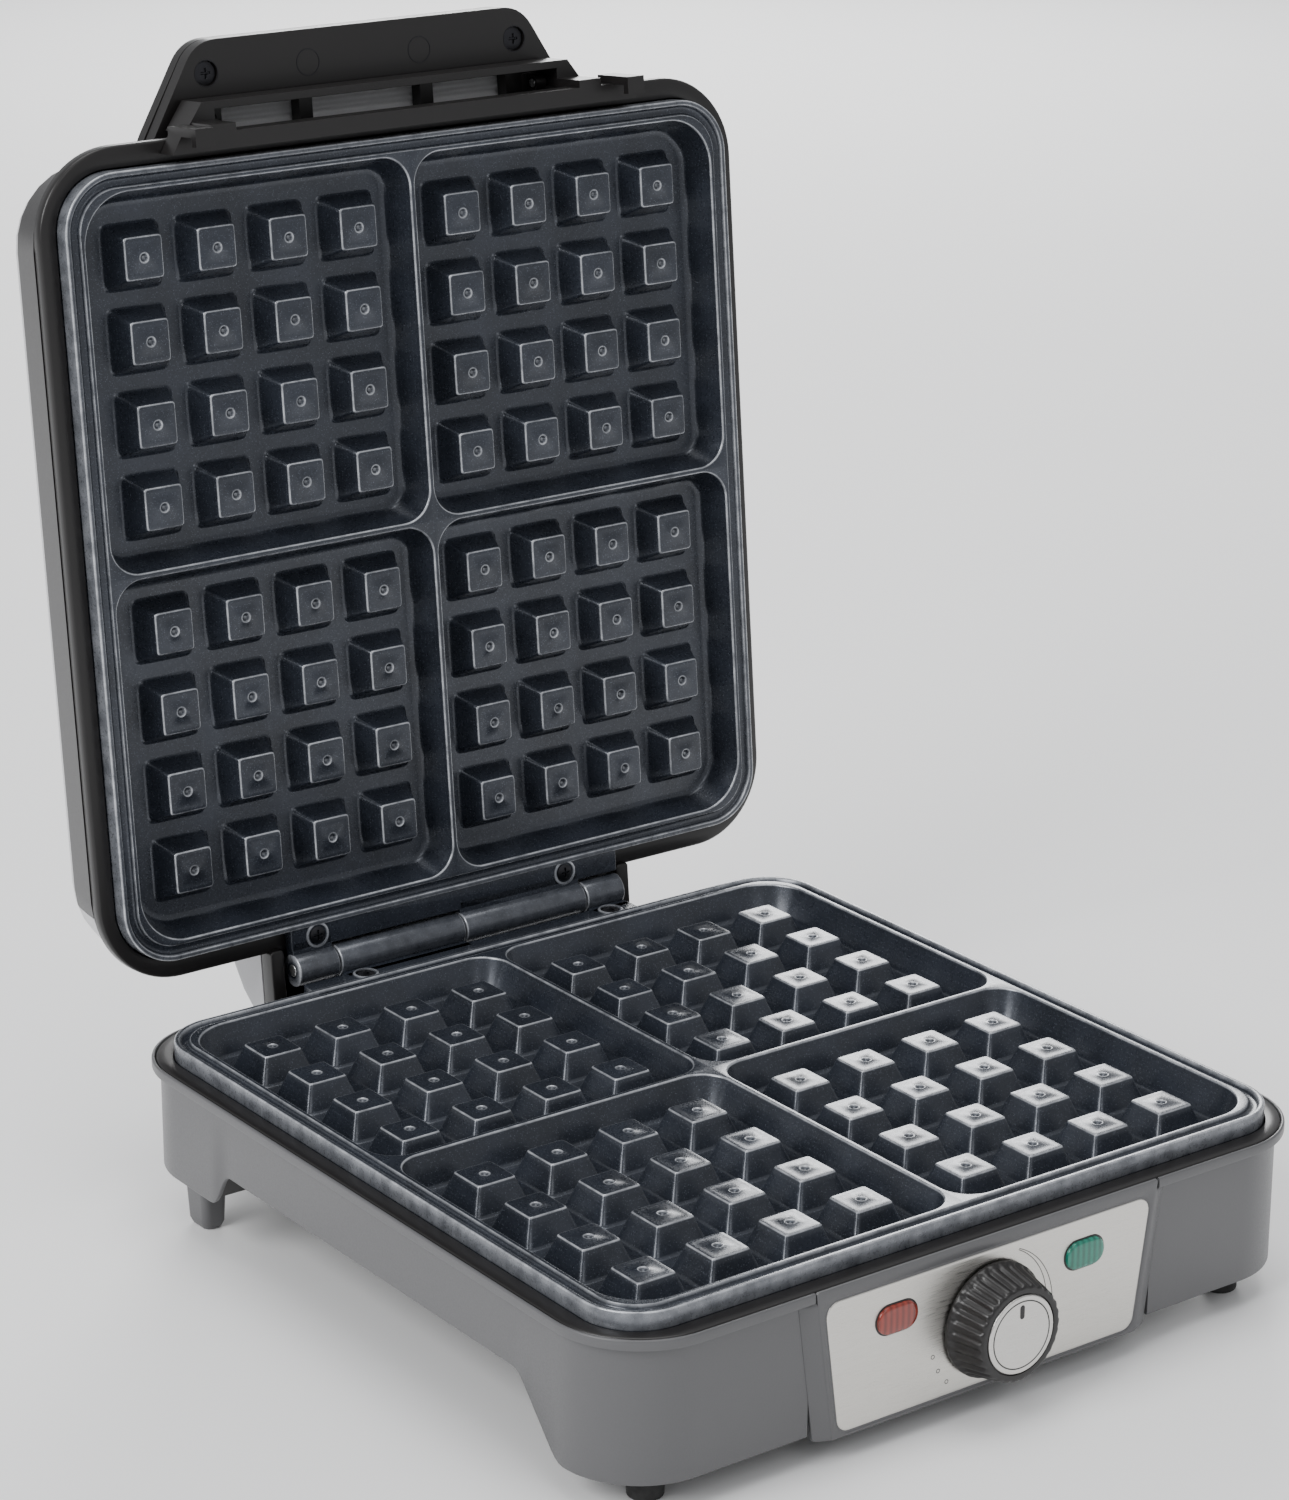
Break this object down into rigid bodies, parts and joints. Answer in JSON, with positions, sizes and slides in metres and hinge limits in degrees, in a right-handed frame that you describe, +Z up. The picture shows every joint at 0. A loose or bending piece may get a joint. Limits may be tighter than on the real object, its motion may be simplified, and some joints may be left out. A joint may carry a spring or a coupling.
{
  "type": "waffle maker",
  "caption": "Free-standing electric waffle maker, lid raised: gridded cooking plates, rear hinge, carrying handle with latch lever, control panel with thermostat dial and lamp lenses.",
  "frame": {"origin": "middle of the footprint with the lid open, on the table", "axes": "+X to the right seen from the control panel, +Y to the back, +Z up"},
  "size_m": [0.245, 0.3192, 0.3302],
  "materials": {
    "housing_grey": "satin sprayed grey plastic",
    "black_plastic": "fine-grained black heat-resistant plastic",
    "plate_coating": "speckled dark non-stick coating on cast aluminium",
    "lid_silver": "satin silver lacquer",
    "fascia_steel": "brushed sheet, brush marks running across",
    "cap_steel": "brushed disc with a thin dark ring",
    "grip_metal": "bright ribbed insert",
    "red_lens": "red translucent lens, ribbed inside",
    "green_lens": "green translucent lens, ribbed inside",
    "foot_rubber": "black rubber",
    "bush_rubber": "black rubber",
    "screw_black": "blackened steel",
    "pin_steel": "plain steel rod",
    "heater_sheath": "oxidised steel tube",
    "reflector_sheet": "plain aluminised sheet",
    "ceramic": "cream heat-resistant moulding",
    "lead_sleeve": "woven glass-fibre sleeving"
  },
  "bodies": {
    "base": {"base_housing": "housing_grey", "bottom_cover": "black_plastic", "base_frame": "black_plastic", "control_panel": "housing_grey", "panel_fascia": "fascia_steel", "red_lens": "red_lens", "green_lens": "green_lens", "red_lamp": "ceramic", "green_lamp": "ceramic", "thermostat_body": "ceramic", "thermostat_bracket": "reflector_sheet", "terminal_block": "ceramic", "thermostat_lead_left": "lead_sleeve", "thermostat_lead_right": "lead_sleeve", "cord_gland": "bush_rubber", "lower_heater": "heater_sheath", "lower_reflector": "reflector_sheet", "thermal_fuse": "reflector_sheet", "lower_plate": "plate_coating", "lower_plate_screw_left": "screw_black", "lower_plate_screw_right": "screw_black", "hinge_pin": "pin_steel", "front_foot_left": "foot_rubber", "rear_foot_left": "housing_grey", "front_foot_right": "foot_rubber", "rear_foot_right": "housing_grey", "bottom_screw_1": "screw_black", "bottom_screw_2": "screw_black", "bottom_screw_3": "screw_black", "bottom_screw_4": "screw_black"},
    "lid": {"upper_plate": "plate_coating", "upper_plate_screw_right": "screw_black", "upper_plate_screw_left": "screw_black", "lid_frame": "black_plastic", "lid_housing": "black_plastic", "lid_cover": "lid_silver", "handle_cover": "black_plastic", "grip_insert": "grip_metal", "handle_screw_left": "screw_black", "handle_screw_right": "screw_black", "latch_pin_left": "pin_steel", "latch_pin_right": "pin_steel", "upper_heater": "heater_sheath", "upper_reflector": "reflector_sheet"},
    "latch": {"latch_lever": "black_plastic"},
    "knob": {"knob_body": "black_plastic", "knob_cap": "cap_steel", "thermostat_shaft": "pin_steel"}
  },
  "joints": [
    {"name": "lid_hinge", "type": "hinge", "parent": "base", "child": "lid", "pos_m": [0, 0.10402, 0.0579], "axis": [1, 0, 0], "range_deg": [0, 95.3]},
    {"name": "latch_pivot", "type": "hinge", "parent": "lid", "child": "latch", "pos_m": [0, 0.14238, 0.30793], "axis": [1, 0, 0], "range_deg": [-9, 0]},
    {"name": "knob_turn", "type": "hinge", "parent": "base", "child": "knob", "pos_m": [0, -0.14698, 0.0269], "axis": [0, -1, 0], "range_deg": [-120, 120]}
  ]
}
